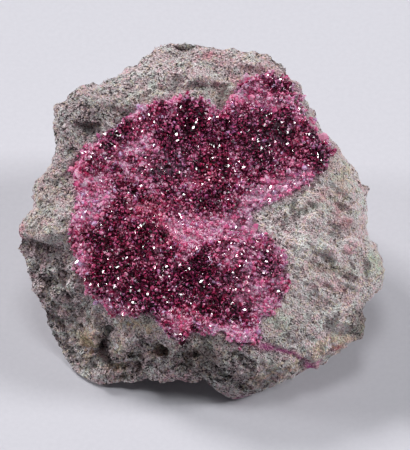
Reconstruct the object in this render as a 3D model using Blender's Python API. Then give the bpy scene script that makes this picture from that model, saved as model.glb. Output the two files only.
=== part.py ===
# Roselite specimen: a broken lump of granular host rock, and the crust of small
# fused roselite crystals that lines the shallow hollow in its display face.
#
# The lump is laid out square on to its display face. "right" and "up" run across
# that face, and "out" stands away from it, towards whoever looks at it. Lengths
# are in millimetres until the last step, which turns the lump to stand on its
# underside, +Z up, and scales it to metres.

import math
import random

import bmesh
import bpy
from mathutils import Matrix, Vector, noise
from mathutils.bvhtree import BVHTree

MM = 0.001

# Driving dimensions
DISPLAY_ELEVATION = 50.0     # degrees between the floor and the way the face looks
HEART_HEIGHT = 24.0          # height of the layout's origin above the underside
ROCK_ROWS = 25               # mesh rows from the heart of a face to the rim
EDGE_WEAR = 1.2              # rounding where two broken faces meet
RIM_ROUND = 4.2              # width of the roll from a face over the rim
LUMP_RELIEF = 1.0            # height and spacing of the broad lumps
LUMP_SPACING = 11.0
CHIP_RELIEF = 0.7            # slope and spacing of the small broken facets
CHIP_SPACING = 4.6
HIDDEN_ROUGHNESS = 1.25      # how much rougher the hidden side is than the display side
STEEPEST = 2.2               # most that relief is stretched on a face seen edge on
ROUGH_INSET = 2.5            # distance from the rim at which the surface is fully rough
FOOT_SMOOTH = 3.0            # height above the floor over which roughness sets in
RIM_THICKNESS = 0.35         # least rise of each side inwards from the rim, as a slope

HOLLOW_DEPTH = 1.5           # depth of the hollow, and width of its shoulder
HOLLOW_SHOULDER = 4.0

CRUST_HEART = (-5.0, 0.0)    # middle of the crust, as (right, up)
CRUST_ROWS = 19              # mesh rows from the heart of the crust to its edge
CRUST_GAP = 0.35             # clearance between crust and rock, along "out"
CRUST_CALM = 3.0             # width of the unroughened rock round the crust
CALM_FADE = 2.0              # part of that width over which roughness sets in
SQUARENESS = math.radians(38)  # how far from square two joined crystal feet may be
LIFT_STEP = 0.08             # step and most steps in lifting the crust clear
LIFT_ROUNDS = 40
CRUST_BED = 1.0              # thickness of the crust beneath its crystals
CRUST_EDGE_BED = 0.7
CELL_JITTER = 0.30           # unevenness of the crystals' feet, and the lean and
CRYSTAL_LEAN = 0.35          # height of the crystals, as shares of the room round them
CRYSTAL_MIN = 1.0
CRYSTAL_MAX = 2.3

# Corners of the rim, clockwise from the top, as (right, up, out)
RIM = [
    (-3.4, 39.5, -4.5), (1.0, 39.0, -4.5), (3.4, 38.3, -4.2), (8.4, 37.7, -4.0),
    (11.9, 37.3, -3.8), (15.6, 36.3, -3.5), (18.3, 33.4, -3.0), (20.3, 31.4, -2.5),
    (22.0, 29.1, -2.2), (23.4, 26.4, -2.0), (24.7, 22.5, -1.8), (26.4, 20.2, -1.6),
    (28.4, 17.6, -1.5), (30.6, 15.6, -1.5), (31.7, 13.1, -1.5), (33.5, 11.1, -1.6),
    (35.0, 9.1, -1.8), (36.2, 6.7, -2.0), (35.9, 3.3, -2.2), (36.3, -0.7, -2.4),
    (36.6, -3.3, -2.6), (37.9, -6.1, -3.2), (40.3, -8.9, -4.0), (40.3, -11.6, -3.6),
    (40.0, -13.7, -3.0), (38.5, -15.5, -2.0), (36.4, -17.8, -0.5), (35.6, -19.7, 0.5),
    (35.9, -22.4, 1.5), (35.5, -24.3, 2.4), (34.0, -25.8, 3.2), (32.2, -26.5, 3.2),
    (30.3, -28.5, 2.6), (28.2, -29.6, 2.0), (24.7, -31.3, 1.2), (22.7, -32.8, 0.8),
    (19.7, -33.9, 1.4), (16.6, -34.6, 1.2), (14.7, -35.9, 1.2), (11.8, -37.4, 1.4),
    (8.2, -38.5, 1.9), (6.6, -38.7, 2.1), (4.7, -37.8, 1.9), (2.9, -36.8, 1.4),
    (1.0, -36.2, 3.6), (-0.8, -35.2, 4.8), (-3.4, -34.4, 5.4), (-6.2, -34.3, 5.2),
    (-9.7, -34.6, 3.8), (-14.0, -35.1, 1.6), (-18.6, -35.1, 0.4), (-21.8, -35.7, -0.5),
    (-24.2, -34.6, -1.2), (-26.8, -33.3, -2.3), (-28.6, -31.5, -3.4), (-29.5, -29.6, -3.8),
    (-31.2, -27.2, -3.4), (-32.7, -24.3, -2.2), (-33.4, -22.0, -1.4), (-34.5, -19.1, -0.4),
    (-35.5, -16.5, 0.2), (-36.2, -13.7, 0.8), (-37.3, -11.5, 1.2), (-37.9, -8.9, 1.6),
    (-39.2, -5.9, 2.0), (-39.6, -3.3, 2.4), (-39.6, -1.2, 2.6), (-37.3, 2.4, 2.2),
    (-36.2, 5.2, 1.8), (-36.0, 8.0, 1.5), (-34.9, 10.4, 1.0), (-32.1, 13.0, 0.4),
    (-31.2, 17.2, -0.6), (-30.9, 20.7, -1.4), (-31.8, 22.6, -2.0), (-31.3, 25.5, -2.6),
    (-29.0, 27.5, -3.0), (-27.7, 29.2, -3.0), (-24.2, 29.8, -2.8), (-21.4, 30.1, -2.6),
    (-18.0, 31.9, -2.8), (-15.2, 33.7, -3.2), (-12.4, 35.9, -3.6), (-9.2, 37.7, -4.0),
    (-6.4, 39.3, -4.4),
]

# Edge of the crust, clockwise from its top left, as (right, up)
CRUST_EDGE = [
    (-6.2, 27.2), (-2.3, 27.4), (1.0, 26.5), (3.2, 23.3), (6.2, 26.3), (8.2, 28.7),
    (9.9, 31.0), (11.8, 32.0), (15.1, 32.2), (17.0, 31.2), (18.8, 29.0), (20.2, 26.8),
    (21.4, 24.6), (22.7, 21.6), (24.2, 19.4), (26.4, 16.6), (28.0, 14.8), (27.5, 12.4),
    (25.6, 10.4), (22.8, 8.3), (19.6, 6.2), (16.2, 4.5), (13.6, 3.3), (12.0, 1.2),
    (12.0, -1.4), (13.8, -3.4), (16.0, -4.8), (18.3, -6.6), (18.4, -10.0), (18.4, -14.8),
    (16.6, -18.0), (13.2, -20.7), (12.5, -23.7), (12.4, -26.2), (8.4, -26.2), (4.0, -23.7),
    (1.0, -23.7), (-0.8, -22.4), (-2.3, -24.8), (-4.0, -25.7), (-7.7, -23.0), (-9.9, -20.7),
    (-11.2, -19.1), (-13.6, -19.8), (-17.1, -20.0), (-19.2, -19.3), (-22.5, -17.2),
    (-24.2, -14.8), (-26.2, -10.9), (-27.3, -7.0), (-27.9, -4.1), (-27.7, -0.7),
    (-26.8, 3.0), (-26.8, 6.7), (-27.1, 9.3), (-28.4, 10.9), (-26.8, 13.3), (-24.9, 15.9),
    (-21.8, 18.3), (-18.6, 20.4), (-15.8, 23.3), (-14.0, 24.8), (-9.2, 26.5),
]

# Broken faces on the display side, as out = level + lean_right * right + lean_up * up
DISPLAY_FACES = {
    "display face": (7.8, 0.0, -0.27),
    "left shelf": (15.9, 0.30, -0.27),
    "right shoulder": (14.4, -0.28, -0.10),
    "left flank": (35.0, 0.70, 0.69),
    "lower left flank": (41.7, 0.96, 0.48),
    "brow wall": (35.4, 0.50, 0.72),
    "front wall": (44.4, 0.0, 1.10),
    "top roll": (27.0, 0.05, -0.80),
}

# Broken faces out of sight behind, as (azimuth, elevation, distance from the heart),
# turned from +X in degrees as the lump stands
HIDDEN_FACES = {
    "back": (84.0, 15.0, 37.0),
    "back left": (117.0, 2.0, 32.2),
    "left end": (154.0, -4.0, 34.6),
    "left undercut": (184.0, -27.0, 34.6),
    "right end": (37.0, -3.0, 31.6),
    "right undercut": (-4.0, -50.0, 30.2),
    "back undercut": (88.0, -44.0, 33.6),
    "back right chip": (58.0, 8.0, 35.0),
    "back left undercut": (138.0, -40.0, 32.0),
    "front undercut": (-78.0, -50.0, 38.4),
    "right corner chip": (12.0, -24.0, 36.0),
    "underside": (0.0, -90.0, 26.5),
}

# Swellings (positive) and pits (negative) of the display side, as
# (right, up, half width, half height, relief)
DISPLAY_RELIEF = {
    "upper left ridge": (-25.0, 23.5, 5.5, 4.5, 3.0),
    "ridge toe": (-29.0, 18.0, 2.6, 3.6, 1.2),
    "ridge groove": (-18.8, 23.2, 5.5, 1.5, -1.9),
    "dark hole": (-24.2, 19.6, 2.8, 1.3, -2.4),
    "top hump": (-1.0, 33.5, 9.0, 4.0, 1.2),
    "top saddle": (6.6, 30.5, 4.5, 3.0, -0.7),
    "left shelf lip": (-34.0, -1.0, 7.0, 3.0, 1.5),
    "shelf shadow": (-33.5, -6.8, 6.5, 1.8, -2.6),
    "flank bulge": (-31.0, -13.5, 4.0, 4.0, 1.0),
    "flank pit": (-27.5, -19.5, 2.6, 2.0, -1.2),
    "rim groove": (-24.3, -19.0, 2.4, 2.0, -1.3),
    "flank cave": (-20.5, -26.0, 1.8, 4.0, -2.0),
    "tan knob": (-24.2, -25.5, 2.6, 4.4, 1.3),
    "brow groove": (-16.5, -23.4, 5.0, 1.2, -1.2),
    "cream knob": (-14.6, -25.3, 2.6, 2.4, 1.2),
    "brown pits": (-9.2, -27.3, 2.2, 1.6, -1.3),
    "notch": (-11.0, -20.6, 1.6, 1.4, -1.2),
    "green hollow": (0.6, -28.6, 4.6, 3.4, -1.7),
    "mauve ridge": (4.1, -30.4, 1.2, 3.4, 1.2),
    "bottom lump": (9.0, -33.2, 5.6, 4.4, 1.6),
    "right streak": (27.0, -6.0, 9.0, 1.6, 0.8),
    "right trough": (26.0, -2.2, 8.0, 1.4, -0.7),
    "lower streak": (26.0, -20.0, 7.0, 1.4, 0.6),
    "shoulder step": (30.5, -15.5, 5.0, 1.2, -0.9),
    "corner knob": (34.0, -22.3, 2.6, 3.4, 1.6),
    "crust waist": (1.5, 0.5, 8.0, 3.5, -0.8),
    "left lobe": (-14.0, 12.0, 9.0, 8.0, 0.7),
    "lower lobe": (-2.0, -13.0, 14.0, 7.0, 0.8),
}

# Swellings and pits of the hidden side, as (right, up, half width, half height, relief)
HIDDEN_RELIEF = {
    "front arch": (-6.5, -33.5, 9.0, 7.5, 10.0),
    "left bay": (-26.0, -14.0, 5.0, 7.0, 2.0),
    "right bay": (20.0, -22.0, 7.0, 6.0, 1.5),
    "back lump": (6.0, 18.0, 8.0, 6.0, -2.0),
}


def bump(right, up, feature):
    """Relief of one swelling or pit at a point: a smooth hill on an oval foot."""
    centre_right, centre_up, half_width, half_height, relief = feature
    reach = ((right - centre_right) / half_width) ** 2 + ((up - centre_up) / half_height) ** 2
    return relief * math.exp(-reach)


def worn_limit(levels, side):
    """Lowest (side 1) or highest (side -1) of the faces, with worn edges between."""
    nearest = min(side * level for level in levels)
    total = sum(math.exp(-(side * level - nearest) / EDGE_WEAR) for level in levels)
    return side * (nearest - EDGE_WEAR * math.log(total))


def polar_reach(outline, right, up, heart):
    """How far the outline lies from its heart in the direction of a point."""
    aim = Vector((right - heart[0], up - heart[1]))
    if aim.length < 1e-6:
        return math.dist(outline[0][:2], heart)
    aim.normalize()
    furthest = 0.0
    for index, corner in enumerate(outline):
        start = Vector(corner[:2]) - Vector(heart)
        end = Vector(outline[(index + 1) % len(outline)][:2]) - Vector(heart)
        side_start = aim.cross(start)
        side_end = aim.cross(end)
        if side_start * side_end > 0 or side_start == side_end:
            continue
        crossing = start.lerp(end, side_start / (side_start - side_end))
        furthest = max(furthest, crossing.dot(aim))
    return furthest


def stations(outline, count):
    """The outline resampled to a number of points, keeping its corners."""
    corners = [Vector(corner) for corner in outline]
    reaches = [0.0]
    for index, corner in enumerate(corners):
        step = (corners[(index + 1) % len(corners)] - corner).length
        reaches.append(reaches[-1] + step)
    spots = {}
    for corner, reach in zip(corners, reaches):
        spots[round(reach / reaches[-1] * count) % count] = corner
    known = sorted(spots)
    points = []
    for index in range(count):
        before = max((k for k in known if k <= index), default=known[-1] - count)
        after = min((k for k in known if k > index), default=known[0] + count)
        share = (index - before) / (after - before)
        points.append(spots[before % count].lerp(spots[after % count], share))
    return points


def spread_disc(mesh, rows, outline, heart):
    """Spreads a mesh made on the unit octahedron over a flat outline, row by row."""
    count = 4 * rows
    rim = stations(outline, count)
    middle = Vector(heart).to_3d() if len(outline[0]) == 3 else Vector(heart)
    places = {}
    for vert in mesh.verts:
        right, up, out = vert.co
        share = abs(right) + abs(up)
        if share < 1e-6:
            places[vert] = (middle.copy(), 0.0, out)
            continue
        # Position along the octahedron's square waist, clockwise from the top
        if right >= 0 and up > 0:
            turn = right / share
        elif right > 0:
            turn = 1.0 - up / share
        elif up < 0:
            turn = 2.0 - right / share
        else:
            turn = 3.0 + up / share
        place = turn * rows % count
        index = int(place)
        spot = rim[index % count].lerp(rim[(index + 1) % count], place - index)
        places[vert] = (middle.lerp(spot, share), share, out)
    return places


def octahedron(rows):
    """A unit octahedron, point up and down, with each edge cut into rows."""
    mesh = bmesh.new()
    bmesh.ops.create_uvsphere(mesh, u_segments=4, v_segments=2, radius=1.0)
    bmesh.ops.subdivide_edges(mesh, edges=mesh.edges[:], cuts=rows - 1, use_grid_fill=True)
    return mesh


def display_out(right, up):
    """How far the display side of the rock stands out at a point."""
    levels = [
        level + lean_right * right + lean_up * up
        for level, lean_right, lean_up in DISPLAY_FACES.values()
    ]
    out = worn_limit(levels, 1)
    out += sum(bump(right, up, feature) for feature in DISPLAY_RELIEF.values())
    reach = polar_reach(CRUST_EDGE, right, up, CRUST_HEART)
    inside = reach - math.dist((right, up), CRUST_HEART)
    shoulder = min(max(inside / HOLLOW_SHOULDER, 0.0), 1.0)
    return out - HOLLOW_DEPTH * shoulder * shoulder * (3.0 - 2.0 * shoulder)


def hidden_out(right, up):
    """How far the hidden side of the rock stands out at a point (mostly negative)."""
    levels = []
    for azimuth, elevation, distance in HIDDEN_FACES.values():
        rise = math.radians(elevation)
        turn = math.radians(azimuth)
        normal = Vector((
            math.cos(rise) * math.cos(turn),
            math.cos(rise) * math.sin(turn),
            math.sin(rise),
        ))
        normal = TURN.inverted() @ normal
        levels.append((distance - normal.x * right - normal.y * up) / normal.z)
    out = worn_limit(levels, -1)
    return out + sum(bump(right, up, feature) for feature in HIDDEN_RELIEF.values())


def inside_crust(right, up):
    """1 under the crust and just round it, falling to 0 a little way outside."""
    reach = polar_reach(CRUST_EDGE, right, up, CRUST_HEART)
    outside = math.dist((right, up), CRUST_HEART) - reach
    return min(max((CRUST_CALM - outside) / CALM_FADE, 0.0), 1.0)


def roughen(place):
    """Height of the broken surface over its face: broad lumps and small facets."""
    lumps = noise.noise(place / LUMP_SPACING) * LUMP_RELIEF
    near = noise.voronoi(place / CHIP_SPACING)[1][0]
    tilt = noise.noise_vector(near * 7.3)
    return lumps + tilt.dot(place / CHIP_SPACING - near) * CHIP_SPACING * CHIP_RELIEF


def stand_up(mesh):
    """Turns a mesh from the layout to stand on the floor, in metres."""
    bmesh.ops.transform(mesh, matrix=STAND, verts=mesh.verts[:])


def stone_material(name, colour, roughness):
    material = bpy.data.materials.new(name)
    material.use_nodes = True
    shader = material.node_tree.nodes["Principled BSDF"]
    shader.inputs["Base Color"].default_value = (*colour, 1.0)
    shader.inputs["Roughness"].default_value = roughness
    shader.inputs["Metallic"].default_value = 0.0
    material.diffuse_color = (*colour, 1.0)
    return material


def add_object(name, mesh, material, collection):
    data = bpy.data.meshes.new(name)
    mesh.to_mesh(data)
    mesh.free()
    data.materials.append(material)
    item = bpy.data.objects.new(name, data)
    collection.objects.link(item)
    return item


def rock_mesh():
    """The host rock in the layout, still without its flat underside."""
    mesh = octahedron(ROCK_ROWS)
    places = spread_disc(mesh, ROCK_ROWS, RIM, (0.0, 0.0))
    insets = {}
    for vert, (spot, share, side) in places.items():
        inset = (1.0 - min(share, 1.0)) * polar_reach(RIM, spot.x, spot.y, (0.0, 0.0))
        insets[vert] = inset
        roll = min(inset / RIM_ROUND, 1.0)
        roll = math.sqrt(1.0 - (1.0 - roll) ** 2)
        face_out = display_out(spot.x, spot.y) if side > 0 else hidden_out(spot.x, spot.y)
        vert.co = Vector((spot.x, spot.y, spot.z + (face_out - spot.z) * roll))
    bmesh.ops.recalc_face_normals(mesh, faces=mesh.faces[:])
    mesh.normal_update()
    shifts = {}
    for vert, (spot, _, side) in places.items():
        free = min(insets[vert] / ROUGH_INSET, 1.0)
        if side > 0:
            free *= 1.0 - inside_crust(spot.x, spot.y)
        else:
            height = (LIFT @ TURN.to_4x4() @ vert.co).z
            free *= HIDDEN_ROUGHNESS * min(max(height / FOOT_SMOOTH, 0.0), 1.0)
        steepness = min(1.0 / max(abs(vert.normal.z), 0.01), STEEPEST)
        shifts[vert] = math.copysign(1.0, side) * roughen(vert.co) * free * steepness
    for vert, (spot, _, side) in places.items():
        out = vert.co.z + shifts[vert]
        keep = RIM_THICKNESS * min(insets[vert], RIM_ROUND)
        vert.co.z = max(out, spot.z + keep) if side > 0 else min(out, spot.z - keep)
    return mesh


def room_round(vert):
    """Least distance from a vertex to the far edges of the triangles round it."""
    distances = []
    for face in vert.link_faces:
        far_edge = next(edge for edge in face.edges if vert not in edge.verts)
        distances.append(2.0 * face.calc_area() / far_edge.calc_length())
    return min(distances)


def lift_clear(mesh, surface):
    """Lifts a sheet lying on the rock until none of its faces cuts the rock."""
    for _ in range(LIFT_ROUNDS):
        mesh.faces.ensure_lookup_table()
        touching = {pair[0] for pair in BVHTree.FromBMesh(mesh).overlap(surface)}
        if not touching:
            break
        verts = {vert for index in touching for vert in mesh.faces[index].verts}
        for vert in verts:
            vert.co.z += LIFT_STEP


def crust_mesh(rock):
    """The crust in the layout: a bed that follows the rock, covered in crystals."""
    surface = BVHTree.FromBMesh(rock)
    dice = random.Random(11)
    mesh = octahedron(CRUST_ROWS)
    lower = [vert for vert in mesh.verts if vert.co.z < -1e-6]
    bmesh.ops.delete(mesh, geom=lower, context="VERTS")
    places = spread_disc(mesh, CRUST_ROWS, CRUST_EDGE, CRUST_HEART)
    for vert, (spot, _, _) in places.items():
        vert.co = spot.to_3d()
    inner = [vert for vert in mesh.verts if not vert.is_boundary]
    for vert, room in [(vert, room_round(vert)) for vert in inner]:
        jitter = Vector((dice.uniform(-1, 1), dice.uniform(-1, 1), 0))
        vert.co += jitter * room * CELL_JITTER
    beds = {}
    for vert in mesh.verts:
        hit = surface.ray_cast(vert.co + Vector((0, 0, 100)), Vector((0, 0, -1)))[0]
        vert.co.z = hit.z + CRUST_GAP / 2
        beds[vert] = CRUST_EDGE_BED if vert.is_boundary else CRUST_BED
    lift_clear(mesh, surface)
    bmesh.ops.translate(mesh, vec=(0, 0, CRUST_GAP / 2), verts=mesh.verts[:])
    thickness = {tuple(vert.co): bed for vert, bed in beds.items()}
    raised = bmesh.ops.extrude_face_region(mesh, geom=mesh.faces[:], use_keep_orig=True)["geom"]
    for vert in (item for item in raised if isinstance(item, bmesh.types.BMVert)):
        vert.co.z += thickness[tuple(vert.co)]
    tops = [item for item in raised if isinstance(item, bmesh.types.BMFace)]
    bmesh.ops.recalc_face_normals(mesh, faces=mesh.faces[:])
    kept = set(mesh.faces) - set(tops)
    bmesh.ops.join_triangles(
        mesh, faces=tops, angle_face_threshold=math.pi, angle_shape_threshold=SQUARENESS
    )
    tips = bmesh.ops.poke(mesh, faces=[face for face in mesh.faces if face not in kept])["verts"]
    mesh.normal_update()
    for tip in tips:
        lean_right = dice.uniform(-CRYSTAL_LEAN, CRYSTAL_LEAN)
        lean_up = dice.uniform(-CRYSTAL_LEAN, CRYSTAL_LEAN)
        height = dice.uniform(CRYSTAL_MIN, CRYSTAL_MAX)
        tip.co += Vector((lean_right, lean_up, height)) * room_round(tip)
    return mesh


def flatten_underside(mesh):
    """Cuts the rock flat where it stands, and closes the cut."""
    geometry = mesh.verts[:] + mesh.edges[:] + mesh.faces[:]
    cut = bmesh.ops.bisect_plane(
        mesh, geom=geometry, dist=1e-6, plane_co=(0, 0, 0), plane_no=(0, 0, -1), clear_outer=True
    )
    edges = [item for item in cut["geom_cut"] if isinstance(item, bmesh.types.BMEdge)]
    bmesh.ops.holes_fill(mesh, edges=edges, sides=0)


def centre_on_origin(meshes):
    """Moves the meshes together so that the middle of their foot is the origin."""
    places = [vert.co for mesh in meshes for vert in mesh.verts]
    middle_x = (min(place.x for place in places) + max(place.x for place in places)) / 2
    middle_y = (min(place.y for place in places) + max(place.y for place in places)) / 2
    for mesh in meshes:
        bmesh.ops.translate(mesh, vec=(-middle_x, -middle_y, 0.0), verts=mesh.verts[:])


def clear_scene():
    for item in list(bpy.data.objects):
        bpy.data.objects.remove(item, do_unlink=True)


# The layout's axes as the lump stands: right is +X, up leans back, out leans forward
LOOK = math.radians(DISPLAY_ELEVATION)
TURN = Matrix((
    (1.0, 0.0, 0.0),
    (0.0, math.sin(LOOK), -math.cos(LOOK)),
    (0.0, math.cos(LOOK), math.sin(LOOK)),
))
LIFT = Matrix.Translation((0.0, 0.0, HEART_HEIGHT))
STAND = Matrix.Scale(MM, 4) @ LIFT @ TURN.to_4x4()

clear_scene()
specimen = bpy.data.collections.new("roselite specimen")
bpy.context.scene.collection.children.link(specimen)

rock = rock_mesh()
crust = crust_mesh(rock)
stand_up(rock)
stand_up(crust)
flatten_underside(rock)

centre_on_origin([rock, crust])

add_object("matrix_rock", rock, stone_material("host rock", (0.30, 0.27, 0.25), 0.9), specimen)
add_object("roselite_crust", crust, stone_material("roselite", (0.32, 0.02, 0.09), 0.25), specimen)
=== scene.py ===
import math

import bmesh
import bpy
import numpy as np
from mathutils import Matrix, Vector, noise
from mathutils.bvhtree import BVHTree


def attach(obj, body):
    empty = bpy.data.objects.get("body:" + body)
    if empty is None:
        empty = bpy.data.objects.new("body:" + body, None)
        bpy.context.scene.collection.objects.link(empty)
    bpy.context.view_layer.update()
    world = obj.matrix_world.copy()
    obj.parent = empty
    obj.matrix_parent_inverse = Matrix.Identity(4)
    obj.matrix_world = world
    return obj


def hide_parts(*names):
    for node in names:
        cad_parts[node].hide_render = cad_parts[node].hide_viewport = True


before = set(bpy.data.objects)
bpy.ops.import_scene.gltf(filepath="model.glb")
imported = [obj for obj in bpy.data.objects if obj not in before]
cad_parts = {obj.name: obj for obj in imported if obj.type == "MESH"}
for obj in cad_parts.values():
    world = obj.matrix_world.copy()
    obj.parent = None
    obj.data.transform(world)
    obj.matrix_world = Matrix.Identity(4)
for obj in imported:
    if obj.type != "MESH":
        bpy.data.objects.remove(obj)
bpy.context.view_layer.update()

# Host rock: a broken lump of fine granular rock, grey-green and buff with pinkish
# and near-black grains. It broke along several planes, and its surface is pitted
# and lumpy, with smoother dark skin in the hollow under the crystals' front edge.
MM = 0.001
WELD_DISTANCE = 1e-6
# The crystal face's own axes in the shared frame, and its middle in millimetres
RIGHT = np.array((1.0, 0.0, 0.0))
UP = np.array((0.0, 0.766044, 0.642788))
OUT = np.array((0.0, -0.642788, 0.766044))
HEART = np.array((-0.35, -3.8876, 24.0))


def lay_flat(points):
    """Places in metres as millimetres to the right, up and out of the crystal face."""
    local = np.asarray(points) / MM - HEART
    return np.stack((local @ RIGHT, local @ UP, local @ OUT), axis=1)


def stand_up(places):
    """The way back: places on the crystal face to metres in the shared frame."""
    places = np.asarray(places)
    world = places[:, :1] * RIGHT + places[:, 1:2] * UP + places[:, 2:3] * OUT
    return (world + HEART) * MM


def spots(places, patches):
    """Sum of soft oval patches, each (right, up, half width, half height, turn, weight)."""
    total = np.zeros(len(places))
    for right, up, half_width, half_height, turn, weight in patches:
        slope = math.radians(turn)
        across = places[:, 0] - right
        along = places[:, 1] - up
        one = (across * math.cos(slope) + along * math.sin(slope)) / half_width
        two = (along * math.cos(slope) - across * math.sin(slope)) / half_height
        total += weight * np.exp(-(one * one + two * two))
    return total


def cover(places, patches):
    """How far soft oval patches cover each place, from 0 to 1."""
    return np.clip(spots(places, patches), 0.0, 1.0)


def edge_distance(places, outline):
    """Distance from each place to a closed outline, positive inside it."""
    spot = places[:, :2]
    nearest = np.full(len(places), 1e9)
    inside = np.zeros(len(places), dtype=bool)
    corners = np.array(outline)
    for start, end in zip(corners, np.roll(corners, -1, axis=0)):
        run = end - start
        share = np.clip((spot - start) @ run / (run @ run), 0.0, 1.0)
        gap = np.linalg.norm(spot - start - share[:, None] * run, axis=1)
        nearest = np.minimum(nearest, gap)
        crosses = (start[1] > spot[:, 1]) != (end[1] > spot[:, 1])
        if start[1] != end[1]:
            reach = start[0] + run[0] * (spot[:, 1] - start[1]) / run[1]
            inside ^= crosses & (spot[:, 0] < reach)
    return np.where(inside, nearest, -nearest)


def waves(points, size, seed):
    """Smooth noise at each point, from -1 to 1, with lumps about size across."""
    shift = Vector((seed * 17.3, seed * 5.1, seed * 9.7))
    return np.array([noise.noise(Vector(point) / size + shift) for point in points])


def chips(points, size, seed):
    """Distance to the nearest of scattered points about size apart, from 0 to about 1."""
    shift = Vector((seed * 11.9, seed * 3.7, seed * 7.1))
    return np.array([noise.voronoi(Vector(point) / size + shift)[0][0] for point in points])


def clumps(points, size, seed):
    """A level from 0 to 1 shared by all the points of one irregular cell about size across."""
    shift = Vector((seed * 7.7, seed * 13.1, seed * 2.9))
    middles = [noise.voronoi(Vector(point) / size + shift)[1][0] for point in points]
    return np.array([noise.noise(middle * 5.3) for middle in middles]) * 0.75 + 0.5


def shares(values, low, high):
    """0 below low and 1 above high, with a smooth rise between."""
    rise = np.clip((values - low) / (high - low), 0.0, 1.0)
    return rise * rise * (3.0 - 2.0 * rise)


def fade(distance, reach):
    """1 at a distance of 0 or less, and falling off over about the reach."""
    return np.exp(-np.maximum(distance, 0.0) / reach)


def soften(shape, verts, times):
    """Wears some verts of a mesh down towards their neighbours."""
    for _ in range(times):
        bmesh.ops.smooth_vert(
            shape, verts=verts, factor=0.5, use_axis_x=True, use_axis_y=True, use_axis_z=True
        )


def read_points(mesh):
    flat = np.empty(len(mesh.vertices) * 3)
    mesh.vertices.foreach_get("co", flat)
    return flat.reshape(-1, 3)


def read_normals(mesh):
    flat = np.empty(len(mesh.vertices) * 3)
    mesh.vertex_normals.foreach_get("vector", flat)
    return flat.reshape(-1, 3)


def move_points(mesh, points):
    mesh.vertices.foreach_set("co", points.ravel())
    mesh.update()


def give(mesh, name, values):
    """Stores one number for each point of a mesh, for its material to read."""
    layer = mesh.attributes.new(name, "FLOAT", "POINT")
    layer.data.foreach_set("value", np.ascontiguousarray(values, dtype=np.float32))


def show(name, data):
    """A new object in the scene with a mesh, light or camera of its own."""
    made = bpy.data.objects.new(name, data)
    bpy.context.collection.objects.link(made)
    return made


# Edge of the crust, clockwise from its top left, as (right, up)
CRUST_OUTLINE = [
    (-6.2, 27.2), (-2.3, 27.4), (1.0, 26.5), (3.2, 23.3), (6.6, 26.5), (7.3, 28.9), (9.5, 31.1),
    (11.8, 32.0), (15.1, 32.6), (17.9, 32.2), (19.7, 30.7), (21.4, 28.3), (22.7, 25.6),
    (24.0, 22.4), (25.3, 20.4), (27.7, 17.2), (29.0, 15.2), (27.7, 12.4), (25.3, 10.2), (22.7, 7.8),
    (19.7, 6.1), (16.0, 5.0), (12.7, 3.0), (10.3, 0.9), (9.5, -0.9), (13.4, -2.6), (16.0, -4.3),
    (18.4, -7.0), (18.4, -14.8), (16.6, -18.0), (13.2, -20.7), (12.5, -23.7), (13.4, -26.5),
    (8.4, -26.5), (6.0, -24.6), (4.0, -23.7), (1.0, -23.7), (-0.8, -22.4), (-2.3, -24.8),
    (-4.0, -25.9), (-7.7, -23.0), (-9.9, -20.7), (-11.2, -19.1), (-13.6, -20.0), (-17.1, -20.0),
    (-19.2, -19.3), (-22.5, -17.2), (-24.2, -14.8), (-26.2, -10.9), (-27.3, -7.0), (-27.9, -4.1),
    (-27.7, -0.7), (-26.8, 3.0), (-26.8, 6.7), (-27.1, 9.3), (-28.6, 10.9), (-26.8, 13.3),
    (-24.9, 15.9), (-21.8, 18.3), (-18.6, 20.4), (-15.8, 23.3), (-14.0, 24.8), (-9.2, 26.5),
]
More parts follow.
